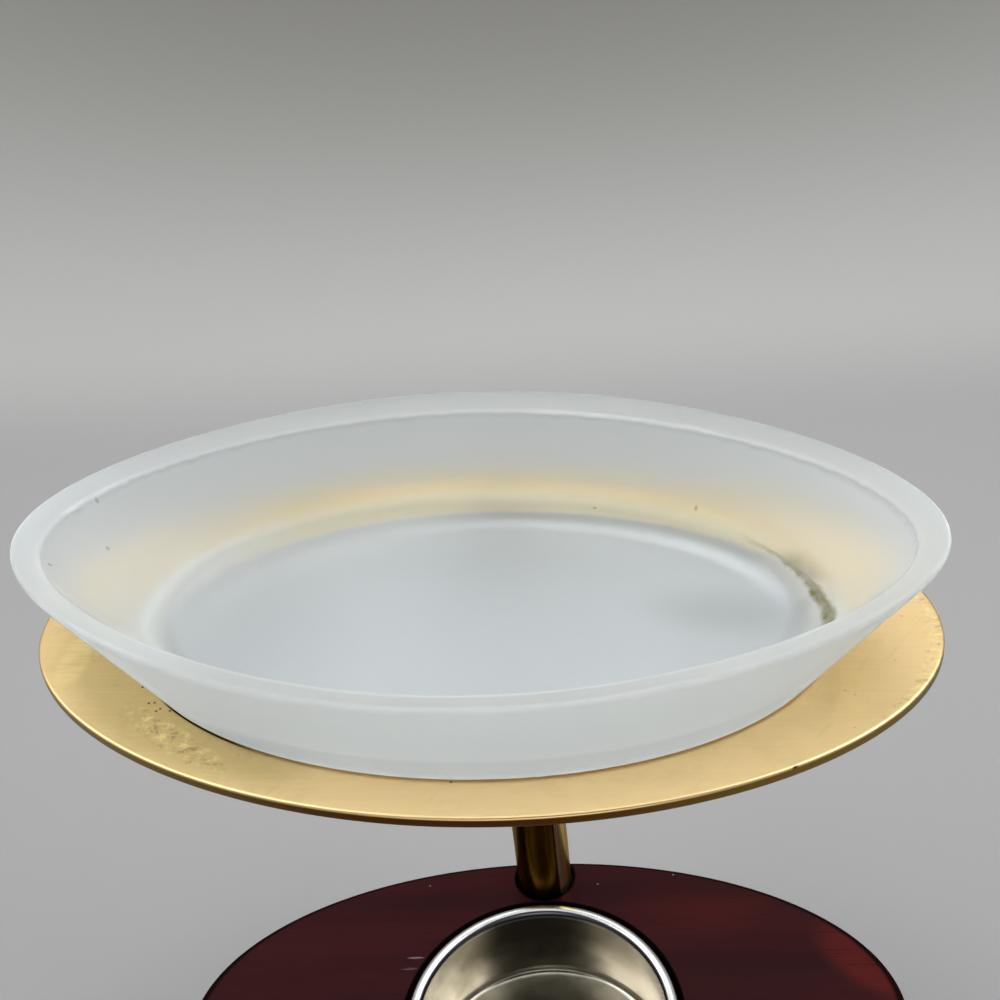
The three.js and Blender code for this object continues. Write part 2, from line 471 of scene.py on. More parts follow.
def loft(rows: np.ndarray, steps: int) -> np.ndarray:
    """Grid of points on a loft of ovals.

    A point at angle t of a row is x = a cos t, y = b sin t (1 - taper cos^2 t), z = the row's height.

    Args:
        rows: Rows of half length, half width, taper and height, from below outwards and over the top.
        steps: Points round each oval.

    Returns:
        Array of rows by steps by 3.
    """
    angle = np.linspace(0, FULL_TURN, steps, endpoint=False)
    a, b, taper, z = (rows[:, index, None] for index in range(4))
    x = a * np.cos(angle)
    y = b * np.sin(angle) * (1 - taper * np.cos(angle) ** 2)
    return np.stack([x, y, np.broadcast_to(z, x.shape)], axis=-1)


def turned(profile: np.ndarray, steps: int) -> np.ndarray:
    """Grid of a body turned about Z: x = r cos t, y = r sin t, z = h of profile points (r, h)."""
    radius, height = profile.T
    return loft(np.column_stack([radius, radius, np.zeros_like(radius), height]), steps)


def skin(
    name: str,
    grid: np.ndarray,
    closed: bool = False,
    marks: dict[str, np.ndarray] | None = None,
) -> Piece:
    """Mesh object over a grid whose columns go round and meet.

    Quads join each point to its neighbours. A first or last row that has shrunk to one point becomes a
    pole with a fan of triangles.

    Args:
        name: The object's name.
        grid: Rows by steps by 3, with rows running from below outwards and over the top.
        closed: Whether the last row also meets the first.
        marks: Values of each grid point that are kept as attributes, by name.

    Returns:
        The object, at the origin, with smooth faces pointing out.
    """
    shrunk = np.ptp(grid, axis=1).max(axis=1) < TINY
    first, last = int(shrunk[0]), len(grid) - int(shrunk[-1])
    body = grid[first:last]
    rows, steps = body.shape[:2]
    index = np.arange(rows * steps).reshape(rows, steps)
    onward = np.roll(index, -1, axis=1)
    upper, upper_onward = np.roll(index, -1, axis=0), np.roll(onward, -1, axis=0)
    quads = np.stack([index, onward, upper_onward, upper], axis=-1)
    faces = (quads if closed else quads[:-1]).reshape(-1, 4).tolist()
    poles = [grid[end, :1] for end, there in ((0, first), (-1, last < len(grid))) if there]
    points = np.vstack([body.reshape(-1, 3), *poles])
    if first:
        low = np.full(steps, rows * steps)
        faces += np.stack([low, onward[0], index[0]], axis=-1).tolist()
    if last < len(grid):
        high = np.full(steps, len(points) - 1)
        faces += np.stack([index[-1], onward[-1], high], axis=-1).tolist()
    mesh = bpy.data.meshes.new(name)
    mesh.from_pydata(points, [], faces)
    for mark, values in (marks or {}).items():
        ends = [values[end].mean() for end, there in ((0, first), (-1, last < len(grid))) if there]
        flat = np.concatenate([values[first:last].ravel(), ends]).astype(np.float32)
        mesh.attributes.new(mark, "FLOAT", "POINT").data.foreach_set("value", flat)
    mesh.shade_smooth()
    mesh.update()
    piece = bpy.data.objects.new(name, mesh)
    bpy.context.scene.collection.objects.link(piece)
    return piece


def settle(piece: Piece) -> None:
    """Puts the result of a piece's modifiers into its mesh.

    Args:
        piece: The piece, which loses its modifiers.
    """
    graph = bpy.context.evaluated_depsgraph_get()
    shown = piece.evaluated_get(graph)
    mesh = bpy.data.meshes.new_from_object(shown, preserve_all_data_layers=True, depsgraph=graph)
    piece.modifiers.clear()
    piece.data = mesh


def carve(piece: Piece, tools: list[Piece], crease: float = 30.0) -> None:
    """Cuts closed tools out of a piece, and shades it flat on its planes and crisp at its edges.

    Args:
        piece: The piece that is cut.
        tools: Closed bodies, which are used up.
        crease: Angle in degrees above which an edge stays crisp.
    """
    for tool in tools:
        cut = piece.modifiers.new("cut", "BOOLEAN")
        cut.operation = "DIFFERENCE"
        cut.solver = "EXACT"
        cut.object = tool
    settle(piece)
    for tool in tools:
        bpy.data.objects.remove(tool)
    piece.data.shade_smooth()
    piece.data.set_sharp_from_angle(angle=math.radians(crease))
    even = piece.modifiers.new("even", "WEIGHTED_NORMAL")
    even.keep_sharp = True
    settle(piece)


def install(piece: Piece, body: Body, slot: Slot, finish: bpy.types.Material, *nodes: str) -> None:
    """Dresses a piece and hands it to the frame.

    Args:
        piece: The finished object.
        body: CAD body that it rides on.
        slot: Slot of the record; not used.
        finish: Its material.
        nodes: CAD nodes that it stands for.
    """
    piece.data.materials.clear()
    piece.data.materials.append(finish)
    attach(piece, body.value)
    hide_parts(*nodes)
    log.info("%s: %d faces on %s", piece.name, len(piece.data.polygons), body.value)


@dataclass(frozen=True)
class FrostedGlass(Finish):
    """Thick cast glass, frosted all over, that scatters light and shows what lies close behind it.

    Oil has left an olive line where the floor meets the wall at the right. The grey line along the
    floor's back corner, the darker left and back of the floor and the darker back of the rim are
    painted shade, and the yellow low on the inner wall is the brass below painted as seen through the
    glass. The rim's inner edge is chipped.
    """

    swivel: Swivel
    floor: float
    name: str = "frosted_glass"
    clear: Tone = tone(249, 252, 252)
    milk: Tone = tone(242, 247, 250)
    haze: Tone = tone(244, 246, 247)
    grey_tone: Tone = tone(150, 150, 144)
    oil: Tone = tone(106, 100, 22)
    brass_show_through: Tone = tone(255, 243, 204)
    speck: Tone = tone(88, 84, 74)
    frost: float = 0.62
    index: float = 1.47
    corner: Pair = mm(3.2, -4.7)
    corner_size: Pair = mm(42.1, 23.4)
    oil_corner: Pair = mm(0, -4.7)
    oil_size: Pair = mm(42.5, 27.4)
    soft_grey_patch: Pair = mm(31.5, -0.8)
    blob: Pair = mm(39.8, -0.3)
    specks: tuple = (
        mm(-46.7, 3.7), mm(-50.8, -3.7), mm(-48.5, 8.2),
        mm(27.0, 17.2), mm(13.8, 19.0),
    )
    chipped_end: Pair = mm(-48.0, 8.0)

    def write(self, recipe: Recipe) -> None:
        """Writes the nodes.

        Args:
            recipe: The material's tree.
        """
        where = recipe.place()
        along = where.moved(self.swivel.middle(), self.swivel.turn)
        x, y, z = (along.axis(name) for name in "XYZ")
        grain = where.noise(2600, 2)
        ragged = where.noise(420, 3, 0.6)
        normal = recipe.relief(grain, 0.02 * MM, 0.4)
        wander = 0.03 * (ragged - 0.5)
        corner = along.oval(self.corner, *self.corner_size) + wander
        oil_corner = along.oval(self.oil_corner, *self.oil_size) + wander
        behind = y.span(-10, 2)
        floor = z.ease(self.floor + 1.2 * MM, self.floor + 0.2 * MM)
        floor = floor * corner.ease(1.02, 0.95)
        inside = recipe.attribute("inside")
        # Painted shade: a soft grey line along the floor's corner at the back, over the edge of the
        # ring's hole below.
        shade = corner.line(0.96, 0.1) * behind * inside
        shade = shade * (0.1 + 0.36 * x.span(-14, 12)) * x.span(42, 32)
        thick = y.span(9, -4)
        oil = (abs(oil_corner - 1) / (0.012 + 0.014 * thick)).ease(1.0, 0.3)
        oil = oil * inside * y.span(-9, -6.5) * x.span(31, 41)
        # Painted: the brass below, seen through the glass, as a yellow tint low on the inner wall.
        right = x.span(22, 40)
        height = z - self.floor - 4 * MM * right
        brass_show_through = height.span(6, 0.3) * corner.ease(0.96, 1.0)
        brass_show_through = brass_show_through * inside * (0.9 * x.span(-40, -20) - 0.35 * right)
        seep = oil_corner.ease(1.07, 1.0) * oil_corner.ease(0.985, 1.0) * inside
        seep = seep * y.span(10, 7) * y.span(1, 5) * x.span(30, 36)
        # Two soft grey patches on the floor at the right.
        soft_grey_patch = along.oval(self.soft_grey_patch, *mm(15, 6), -8).ease(1.0, 0.1)
        blob = along.stroke(self.blob, *mm(1.7, 1.9))
        # Painted shade: the floor darker to the left and at the back, and the back of the rim darker
        # near its top.
        dim = floor * (0.18 * x.span(-8, -30) | 0.09 * y.span(0, 9))
        rim = z.ease(self.floor + 9.8 * MM, self.floor + 10.6 * MM) * y.span(4, 20)
        colour = recipe.layered(
            WHITE,
            (floor, self.haze),
            (shade, self.grey_tone),
            ((soft_grey_patch * 0.3 | blob * 0.22) * floor, self.grey_tone),
            (dim | rim * 0.16, self.grey_tone),
            (brass_show_through, self.brass_show_through),
            (oil * (0.4 + ragged) | seep * (0.2 + ragged), self.oil),
            (along.spots(self.specks, 0.3 * MM) * 0.5, self.speck),
        )
        clear = recipe.principled({
            "Base Color": recipe.mix(1.0, self.clear, colour, Blend.TINT),
            "Roughness": self.frost + 0.2 * floor,
            "IOR": self.index,
            "Transmission Weight": 0.95,
            "Normal": normal,
        })
        milky = recipe.principled({
            "Base Color": recipe.mix(1.0, self.milk, colour, Blend.TINT),
            "Roughness": self.frost,
            "IOR": self.index,
            "Normal": normal,
        })
        # Painted highlight: a milkier, whiter band inside the grey line at the back.
        painted_ledge_highlight = corner.line(0.88, 0.07) * inside * behind * x.span(41, 33)
        painted_ledge_highlight = painted_ledge_highlight * (0.15 * x.span(-20, 8) + 0.14 * x.span(14, 28))
        worn = along.stroke(self.chipped_end, *mm(12, 8))
        worn = worn | x.span(2, 8) * y.span(10, 16)
        chips = recipe.attribute("lip") * where.noise(700, 3).ease(0.42, 0.55)
        chips = chips * (0.1 + 0.28 * worn)
        share = (recipe.attribute("milk") | chips) + painted_ledge_highlight
        recipe.surface(recipe.node("ShaderNodeMixShader", None, {0: share, 1: clear, 2: milky}))


@dataclass(frozen=True)
class SatinBrass(Finish):
    """Brass with a brushed face, dull at its left end and pitted in places.

    Its edges are painted dark brown as a dark reflection, paler towards the ends. Painted shade
    darkens it beside the dish's foot and in a thin line along the foot at the left front, and a pale
    strip at its rough right end is a painted highlight.
    """

    swivel: Swivel
    face: float
    foot: Pair
    outline: Pair
    name: str = "satin_brass"
    slant: float = 1.0
    bright: Tone = tone(248, 216, 160)
    dull: Tone = tone(216, 190, 132)
    pale: Tone = tone(255, 233, 164)
    olive: Tone = tone(156, 130, 76)
    tarnish_and_dark_reflection: Tone = tone(86, 47, 0)
    edge_end_reflection: Tone = tone(140, 110, 46)
    pit_and_contact_shade: Tone = tone(46, 32, 12)
    pits: tuple = (
        mm(-39.9, -11.3), mm(-38.3, -14.0), mm(-37.6, -13.9), mm(-36.6, -14.9),
        mm(-37.0, -15.3), mm(-35.3, -15.2), mm(44.3, -10.2), mm(45.4, -10.9),
        mm(45.0, -16.0), mm(50.3, -5.1), mm(0.3, -25.4),
    )
    nick: Pair = mm(38.4, -22.3)
    flecked: Pair = mm(-33.5, -19.8)
    rubbed: Pair = mm(-50.2, -7.5)
    gap: Pair = mm(-30.5, -17.6)

    def write(self, recipe: Recipe) -> None:
        """Writes the nodes.

        Args:
            recipe: The material's tree.
        """
        where = recipe.place()
        along = where.moved(self.swivel.middle(), self.swivel.turn)
        x = along.axis("X")
        z = where.axis("Z")
        brush = along.moved(turn=0.05, scale=(110, 1200, 300)).noise(1, 4, 0.65)
        fine = along.moved(scale=(160, 3600, 300)).noise(1, 2)
        clouds = along.noise(70, 4, 0.6)
        flecks = along.moved(scale=(700, 1000, 700)).noise(1, 3, 0.65)
        # The edge band is painted dark brown as a dark reflection, paler towards the ends.
        edge = z.ease(self.face - 0.1 * MM, self.face - 0.4 * MM)
        end = abs(x).span(8, 46)
        left = x.span(-8, -38)
        foot = along.oval((0, 0), *self.foot)
        # Painted shade: darker beside the dish's foot, and the dull left end darkest near the foot; the
        # clouds vary the brass's own tone.
        shade_beside_foot = foot.ease(1.22, 1.04) * abs(x).span(8, 30)
        dullness_and_shade = left * (0.4 + 0.6 * foot.ease(1.3, 1.1)) + 0.26 * shade_beside_foot + 0.9 * (clouds - 0.5)
        stains = along.noise(190, 5, 0.65)
        slant = along.moved(turn=self.slant, scale=(140, 2400, 300)).noise(1, 2)
        wide = along.oval((0, 0), *self.outline)
        # The right end's rough band: its pale raised flecks are a painted highlight, its hollows are
        # tarnish.
        rough_bright_end = wide.ease(0.955, 0.975) * x.span(44, 51)
        zone = along.stroke(self.flecked, *mm(11, 2.4), -34)
        rubbed = along.stroke(self.rubbed, *mm(2.4, 7)) * brush.ease(0.3, 0.7)
        raised = flecks.ease(0.5, 0.68)
        sunk = flecks.ease(0.46, 0.34) * zone
        sunk = sunk | 0.6 * rough_bright_end * flecks.ease(0.46, 0.36)
        speckle = along.dots(520, 0.09, 0.13) * clouds.ease(0.45, 0.6)
        # Painted shade: a thin dark line along the foot's contact at the left front.
        contact_shade = foot.line(1.004, 0.006)
        contact_shade = contact_shade * along.stroke(self.gap, *mm(9, 6), -30)
        pits = along.spots(self.pits, 0.21 * MM) * x.span(80, -30) * 0.85
        pits = pits | along.spots((self.nick,), 0.6 * MM)
        colour = recipe.layered(
            self.bright,
            (dullness_and_shade.ease(0.0, 0.9), self.dull),
            (stains.ease(0.5, 0.7) * (0.07 + 0.2 * left), self.olive),
            (brush.ease(0.42, 0.75) * 0.14, self.dull),
            (fine.ease(0.5, 0.75) * 0.16, self.pale),
            (slant.ease(0.62, 0.72) * 0.16, self.dull),
            ((zone * raised) * 0.55 | rubbed * 0.45, self.pale),
            (rough_bright_end * raised, self.pale),
            ((sunk | speckle) * 0.4, self.tarnish_and_dark_reflection),
            (pits | contact_shade, self.pit_and_contact_shade),
            (edge, recipe.mix(end, self.tarnish_and_dark_reflection, self.edge_end_reflection)),
        )
        grooves = recipe.relief(0.4 * brush + 0.3 * fine + 0.3 * slant, 0.03 * MM, 0.2)
        recipe.dress({
            "Base Color": colour,
            "Metallic": 1.0,
            "Roughness": 0.31 + 0.1 * brush,
            "Normal": recipe.relief(flecks * (zone | rough_bright_end), 0.06 * MM, 0.6, grooves),
        })


@dataclass(frozen=True)
class DrawnBrass(Finish):
    """Brass rod drawn along its length. Long dark and bright streaks are painted reflections, bright
    in a strip towards +X and dark across the rest.
    """

    name: str = "drawn_brass"
    radius: float = 4.5 * MM
    grazed: Tone = tone(232, 216, 184)
    painted_reflection_streaks: tuple = (
        (0.0, tone(60, 40, 14)),
        (0.1, tone(106, 74, 22)),
        (0.24, tone(58, 38, 8)),
        (0.38, tone(94, 64, 18)),
        (0.62, tone(70, 46, 12)),
        (0.78, tone(76, 52, 16)),
        (0.81, tone(255, 238, 190)),
        (0.92, tone(250, 222, 150)),
        (1.0, tone(150, 116, 56)),
    )

    def write(self, recipe: Recipe) -> None:
        """Writes the nodes.

        Args:
            recipe: The material's tree.
        """
        where = recipe.place()
        drawn = where.moved(scale=(1400, 1400, 14)).noise(1, 3)
        # Painted reflections: the ramp of streaks runs across the rod by X.
        across = where.axis("X") / (2 * self.radius) + 0.5 + 0.1 * (drawn - 0.5)
        colour = recipe.node("ShaderNodeValToRGB", {"stops": self.painted_reflection_streaks}, {0: across})
        recipe.dress({
            "Base Color": recipe.mix(drawn.ease(0.5, 0.8) * 0.5, colour, self.painted_reflection_streaks[0][1]),
            "Metallic": 1.0,
            "Specular Tint": self.grazed,
            "Roughness": 0.22 + 0.14 * drawn,
            "Normal": recipe.relief(drawn, 0.03 * MM, 0.3),
        })


@dataclass(frozen=True)
class TurnedBrass(Finish):
    """Bright brass with fine turning marks, for screws."""

    name: str = "turned_brass"
    bright: Tone = tone(246, 218, 160)
    dull: Tone = tone(222, 192, 130)

    def write(self, recipe: Recipe) -> None:
        """Writes the nodes.

        Args:
            recipe: The material's tree.
        """
        where = recipe.place()
        marks = where.noise(1900, 3)
        recipe.dress({
            "Base Color": recipe.mix(marks.ease(0.4, 0.7), self.bright, self.dull),
            "Metallic": 1.0,
            "Roughness": 0.22 + 0.14 * marks,
            "Normal": recipe.relief(marks, 0.02 * MM, 0.25),
        })


@dataclass(frozen=True)
class LacqueredWood(Finish):
    """Dark red-brown hardwood, finely grained along its length, under scuffed semi-gloss lacquer."""

    face: float
    outline: Pair
    post: Pair
    name: str = "lacquered_wood"
    dark: Tone = tone(43, 10, 13)
    middle: Tone = tone(58, 16, 17)
    red: Tone = tone(102, 28, 23)
    shadow: Tone = tone(8, 3, 4)
    scuff: Tone = tone(196, 172, 176)
    red_patch: Pair = mm(52.0, 9.3)
    scratches: tuple = (mm(-21.0, 11.8), mm(-22.0, 9.75))
    specks: tuple = (mm(-19.7, 26.3), mm(9.0, 25.7), mm(21.8, 27.2))

    def write(self, recipe: Recipe) -> None:
        """Writes the nodes.

        Args:
            recipe: The material's tree.
        """
        where = recipe.place()
        z = where.axis("Z")
        bands = where.moved(scale=(9, 110, 110)).noise(1, 4, 0.6)
        pores = where.moved(scale=(140, 2400, 2400)).noise(1, 2)
        patches = where.moved(scale=(14, 30, 30)).noise(1, 2)
        dust = where.dots(260, 0.02, 0.16)
        patch = where.stroke(self.red_patch, *mm(12, 6), -43)
        edge = z.ease(self.face - 0.01 * MM, self.face - 0.08 * MM)
        edge = edge | where.oval((0, 0), *self.outline).ease(0.97, 0.985)
        edge = edge * z.ease(self.face - 1.6 * MM, self.face - 0.9 * MM)
        socket = where.oval(self.post, 1.0, 1.0).span(5.35, 4.9)
        scratches = where.strokes(self.scratches, *mm(1.7, 0.22))
        specks = where.spots(self.specks, 0.2 * MM)
        marks = scratches * pores.ease(0.3, 0.55) | specks | dust
        colour = recipe.layered(
            self.dark,
            (bands.ease(0.3, 0.7), self.middle),
            (patches.ease(0.55, 0.8) * 0.45 | patch * 0.5, self.red),
            (pores.ease(0.58, 0.7) * 0.6, self.dark),
            (edge * 0.9 | socket, self.shadow),
            (marks * 0.36, self.scuff),
        )
        recipe.dress({
            "Base Color": colour,
            "Roughness": 0.26 + 0.14 * pores + 0.6 * edge,
            "Specular IOR Level": 0.07,
            "Normal": recipe.relief(pores, 0.03 * MM, 0.3),
        })


@dataclass(frozen=True)
class DrawnTin(Finish):
    """Bright plated sheet: a polished bead with a dark line of painted shade inside it, and a satin,
    stained lining painted darker high up and most at the back as shade.
    """

    bead_foot: float
    bead_inner: float
    name: str = "drawn_tin"
    plate: Tone = tone(250, 251, 253)
    satin: Tone = tone(206, 200, 186)
    stain: Tone = tone(146, 140, 124)
    lining_shade_tone: Tone = tone(84, 78, 62)
    shadow: Tone = tone(40, 42, 48)

    def write(self, recipe: Recipe) -> None:
        """Writes the nodes.

        Args:
            recipe: The material's tree.
        """
        where = recipe.place()
        z = where.axis("Z")
        inside = z.ease(self.bead_foot, self.bead_foot - 0.5 * MM)
        rings = where.moved(scale=(40, 40, 1500)).noise(1, 2)
        clouds = where.noise(120, 3)
        # Painted shade: the lining darker high up towards the bead, most at the back.
        high = z + 6 * MM * (clouds - 0.5)
        lining_shade = high.ease(self.bead_foot - 11 * MM, self.bead_foot - 3 * MM)
        lining_shade = lining_shade * (0.15 + 0.6 * where.axis("Y").span(9, 18))
        flank = where.oval((0, 0), 1.0, 1.0) - self.bead_inner
        crease = flank.span(0.5, 0.26)
        crease = crease * z.ease(self.bead_foot - 0.7 * MM, self.bead_foot - 0.2 * MM)
        lining = recipe.layered(
            self.satin,
            (clouds.ease(0.35, 0.75), self.stain),
            (lining_shade, self.lining_shade_tone),
        )
        colour = recipe.layered(self.plate, (inside, lining), (crease * 0.9, self.shadow))
        recipe.dress({
            "Base Color": colour,
            "Metallic": 1.0,
            "Roughness": 0.27 - inside * (0.08 - 0.06 * rings),
            "Normal": recipe.relief(rings, 0.01 * MM, 0.1),
        })


@dataclass(frozen=True)
class PressedFelt(Finish):
    """Matt dark felt of short pressed fibres."""

    name: str = "pressed_felt"
    dark: Tone = tone(38, 36, 33)
    light: Tone = tone(74, 70, 64)

    def write(self, recipe: Recipe) -> None:
        """Writes the nodes.

        Args:
            recipe: The material's tree.
        """
        where = recipe.place()
        fibres = where.noise(2200, 4, 0.7)
        recipe.dress({
            "Base Color": recipe.mix(fibres.ease(0.4, 0.75), self.dark, self.light),
            "Roughness": 0.95,
            "Sheen Weight": 0.4,
            "Normal": recipe.relief(fibres, 0.15 * MM, 0.8),
        })


@dataclass(frozen=True)
class StudioGrey(Finish):
    """Matt pale grey of the floor, painted palest behind the part as a pool of light and painted darker
    where it sweeps up there as shade.
    """

    name: str = "studio_grey"
    near: Tone = tone(171, 171, 171)
    pale: Tone = tone(189, 189, 188)
    dim: Tone = tone(132, 131, 126)
    pale_from: float = 0.19
    pale_at: float = 0.245
    dim_at: float = 0.44

    def write(self, recipe: Recipe) -> None:
        """Writes the nodes.

        Args:
            recipe: The material's tree.
        """
        depth = recipe.place().axis("Y")
        colour = recipe.mix(depth.ease(self.pale_from, self.pale_at), self.near, self.pale)
        recipe.dress({
            "Base Color": recipe.mix(depth.ease(self.pale_at, self.dim_at), colour, self.dim),
            "Roughness": 0.9,
            "Specular IOR Level": 0.1,
        })


@dataclass
class GlassDish:
    """The dish: walls flare from an elliptical foot on the ring to a rim whose face falls inwards."""

    swivel: Swivel
    hole: Pair
    foot_lap: float = 2.2 * MM
    rim_width: float = 3.7 * MM
    rim_fall: float = 1.1 * MM
    rim_round: float = 0.5 * MM
    floor: float = 3.6 * MM
    wall_foot: float = 2.8 * MM
    floor_round: float = 2.4 * MM
    spigot_gap: float = 0.6 * MM
    spigot_round: float = 0.35 * MM
    foot_round: float = 0.45 * MM
    seat_gap: float = 0.25 * MM
    cad_seat_gap: float = 0.3 * MM
    waist: float = 0.35
    chest: float = 0.65
    rim_swell: float = 0.6
    taper: float = 0.155
    chip: float = 0.004
    teeth: tuple = ((53, 1), (81, 2), (127, 0))
    bright_edge: float = 0.56
    bright_rim: float = 0.07
    bright_end: float = 0.16
    bright_low: float = 0.02
    bright_front: float = 0.03
    foot_bead: float = 0.2 * MM
    steps: int = 512

    def rows(self) -> tuple[np.ndarray, np.ndarray, np.ndarray]:
        """Ovals of the dish, from the middle of its underside, up the outside and down to its floor.

        Returns:
            The ovals, how milky the glass looks at each, and the name of the stretch that each is in.
        """
        corners = self.swivel.carry(node_points("glass_dish"), back=True)
        low, high = corners.min(axis=0), corners.max(axis=0)
        ring_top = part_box("ring_plate")[1].z
        seat = ring_top + self.cad_seat_gap - self.seat_gap
        rim = section(high[0], high[1], high[2] - self.rim_round, self.taper)
        foot = section(self.hole[0] + self.foot_lap, self.hole[1] + self.foot_lap, seat)
        under = section(self.hole[0] - self.spigot_gap, self.hole[1] - self.spigot_gap, low[2])
        neck = under * np.array([1, 1, 1, 0]) + np.array([0, 0, 0, seat])
        crown = drawn_in(rim, self.rim_round, self.rim_round)
        lip = drawn_in(rim, self.rim_width - self.rim_round, self.rim_round - self.rim_fall)
        inner_rim = drawn_in(rim, self.rim_width, -self.rim_fall)
        inner_foot = drawn_in(foot, self.wall_foot, self.floor)
        share = self.floor_round / (inner_rim[3] - inner_foot[3])
        wall_foot = inner_foot + (inner_rim - inner_foot) * share
        floor_edge = drawn_in(inner_foot, self.floor_round)
        rise = (rim - foot) / np.linalg.norm((rim - foot)[[0, 3]])
        waist = foot + (rim - foot) * self.waist
        chest = foot + (rim - foot) * self.chest
        under_edge = drawn_in(under, self.spigot_round)
        spigot = drawn_in(under, 0, self.spigot_round)
        foot_edge = drawn_in(foot, self.foot_round)
        bead = drawn_in(foot, -self.foot_bead, self.foot_bead)
        heel = foot + rise * self.foot_round
        shoulder = rim - rise * self.rim_round
        swell = rim + rise * self.rim_round * self.rim_swell
        stretches = {
            "underside": (0.1, straight(under * [0, 0, 0, 1], under_edge, 6)),
            "spigot edge": (0.1, rounded(under_edge, under, spigot, 5)),
            "spigot": (0.1, straight(spigot, neck, 2)),
            "seat": (0.3, straight(neck, foot_edge, 3)),
            # The foot edge is made almost wholly milky, which paints a bright line along the foot.
            "foot edge": (0.95, rounded(foot_edge, bead, heel, 7)),
            "low wall": (0.3, straight(heel, waist, 5)),
            "wall": (0.18, straight(waist, chest, 5)),
            "high wall": (0.18, straight(chest, shoulder, 6)),
            "rim edge": (0.14, rounded(shoulder, swell, crown, 7)),
            "rim face": (0.1, straight(crown, lip, 8)),
            "lip": (0.2, rounded(lip, inner_rim + [0, 0, 0, self.rim_round], inner_rim, 7)),
            "inner wall": (0.06, straight(inner_rim, wall_foot, 14)),
            "corner": (0.08, rounded(wall_foot, inner_foot, floor_edge, 12)),
            "floor": (0.17, straight(floor_edge, floor_edge * [0, 0, 0, 1], 10)),
            "floor middle": (0.17, np.array([floor_edge * [0, 0, 0, 1]])),
        }
        shares, parts = zip(*stretches.values())
        counts = [len(part) for part in parts]
        return np.vstack(parts), np.repeat(shares, counts), np.repeat(list(stretches), counts)

    def build(self) -> None:
        """Builds the dish and dresses it."""
        rows, milk, names = self.rows()
        grid = loft(rows, self.steps)
        x, y, z = np.moveaxis(grid, -1, 0)
        floor = float(rows[-1, 3])
        milk = np.repeat(milk[:, None], self.steps, axis=1)
        for stretch, gain, share in (
            ("rim edge", self.bright_edge, y / (8 * MM) + 1),
            ("rim face", self.bright_rim, np.abs(x) / (25 * MM) - 1),
            ("inner wall", self.bright_end, x / (20 * MM) - 1),
            ("inner wall", self.bright_low, 1.2 - (z - floor) / (5 * MM)),
            ("floor", self.bright_front, -y / (10 * MM) - 0.2),
        ):
            there = names == stretch
            milk[there] += gain * np.clip(share[there], 0, 1)
        lip = names == "lip"
        angle = np.linspace(0, FULL_TURN, self.steps, endpoint=False)
        teeth = sum(np.sin(count * angle + start) for count, start in self.teeth)
        behind = np.clip(y[lip] / (8 * MM) + 0.5, 0, 1)
        grid[lip, :, :2] *= 1 - (self.chip * behind * np.clip(teeth, 0, 2) / 2)[..., None]
        within = np.isin(names, ["inner wall", "corner", "floor", "floor middle"])
        marks = {"milk": milk} | {
            mark: np.repeat(there[:, None], self.steps, axis=1)
            for mark, there in (("lip", lip), ("inside", within))
        }
        piece = skin("dish_glass", self.swivel.carry(grid), marks=marks)
        install(piece, Body.DISH, Slot.GLASS, FrostedGlass(self.swivel, floor).material(), "glass_dish")


@dataclass(frozen=True)
class ScrewSize:
    """A countersunk slotted screw whose cone narrows at 45 degrees."""

    shank: float
    head: float
    length: float
    head_rim: float = 0.35 * MM
    slot_width: float = 0.7 * MM
    slot_depth: float = 0.5 * MM
    tip: float = 1.5 * MM
    edge: float = 0.08 * MM

    def profile(self, gap: float = 0.0, room: float = 0.0) -> np.ndarray:
        """Radius and height along the screw, from its tip to its face at height 0.

        Args:
            gap: Added all round, for the screw's hole.
            room: Height of the hole above the face.

        Returns:
            Points of radius and height.
        """
        shank, head = self.shank / 2 + gap, self.head / 2 + gap
        cone = -self.head_rim - (self.head - self.shank) / 2 - gap
        tip = shank if gap else shank / 2
        soft = 0.0 if gap else self.edge
        return np.array([
            [0, -self.length - gap],
            [tip, -self.length - gap],
            [shank, -self.length - gap + self.tip],
            [shank, cone],
            [head, -self.head_rim - gap],
            [head, room - soft],
            [head - soft, room],
            [0, room],
        ])

    def slot(self) -> np.ndarray:
        """The bar that cuts the slot: two rows of four corners between two middles.

        Returns:
            Grid of its points.
        """
        across, deep = self.slot_width / 2, self.slot_depth
        corners = np.array([[1, -1], [1, 1], [-1, 1], [-1, -1]]) * [self.head, across]
        low = np.column_stack([corners, np.full(4, -deep)])
        high = np.column_stack([corners, np.full(4, deep)])
        return np.stack([low.mean(axis=0) + 0 * low, low, high, high.mean(axis=0) + 0 * high])


def laid_behind(grid: np.ndarray, seat: float, height: float) -> np.ndarray:
    """Lays what stands on Z along -Y, its face at y = seat, by (x, seat + z, height - y)."""
    x, y, z = np.moveaxis(grid, -1, 0)
    return np.stack([x, seat + z, height - y], axis=-1)


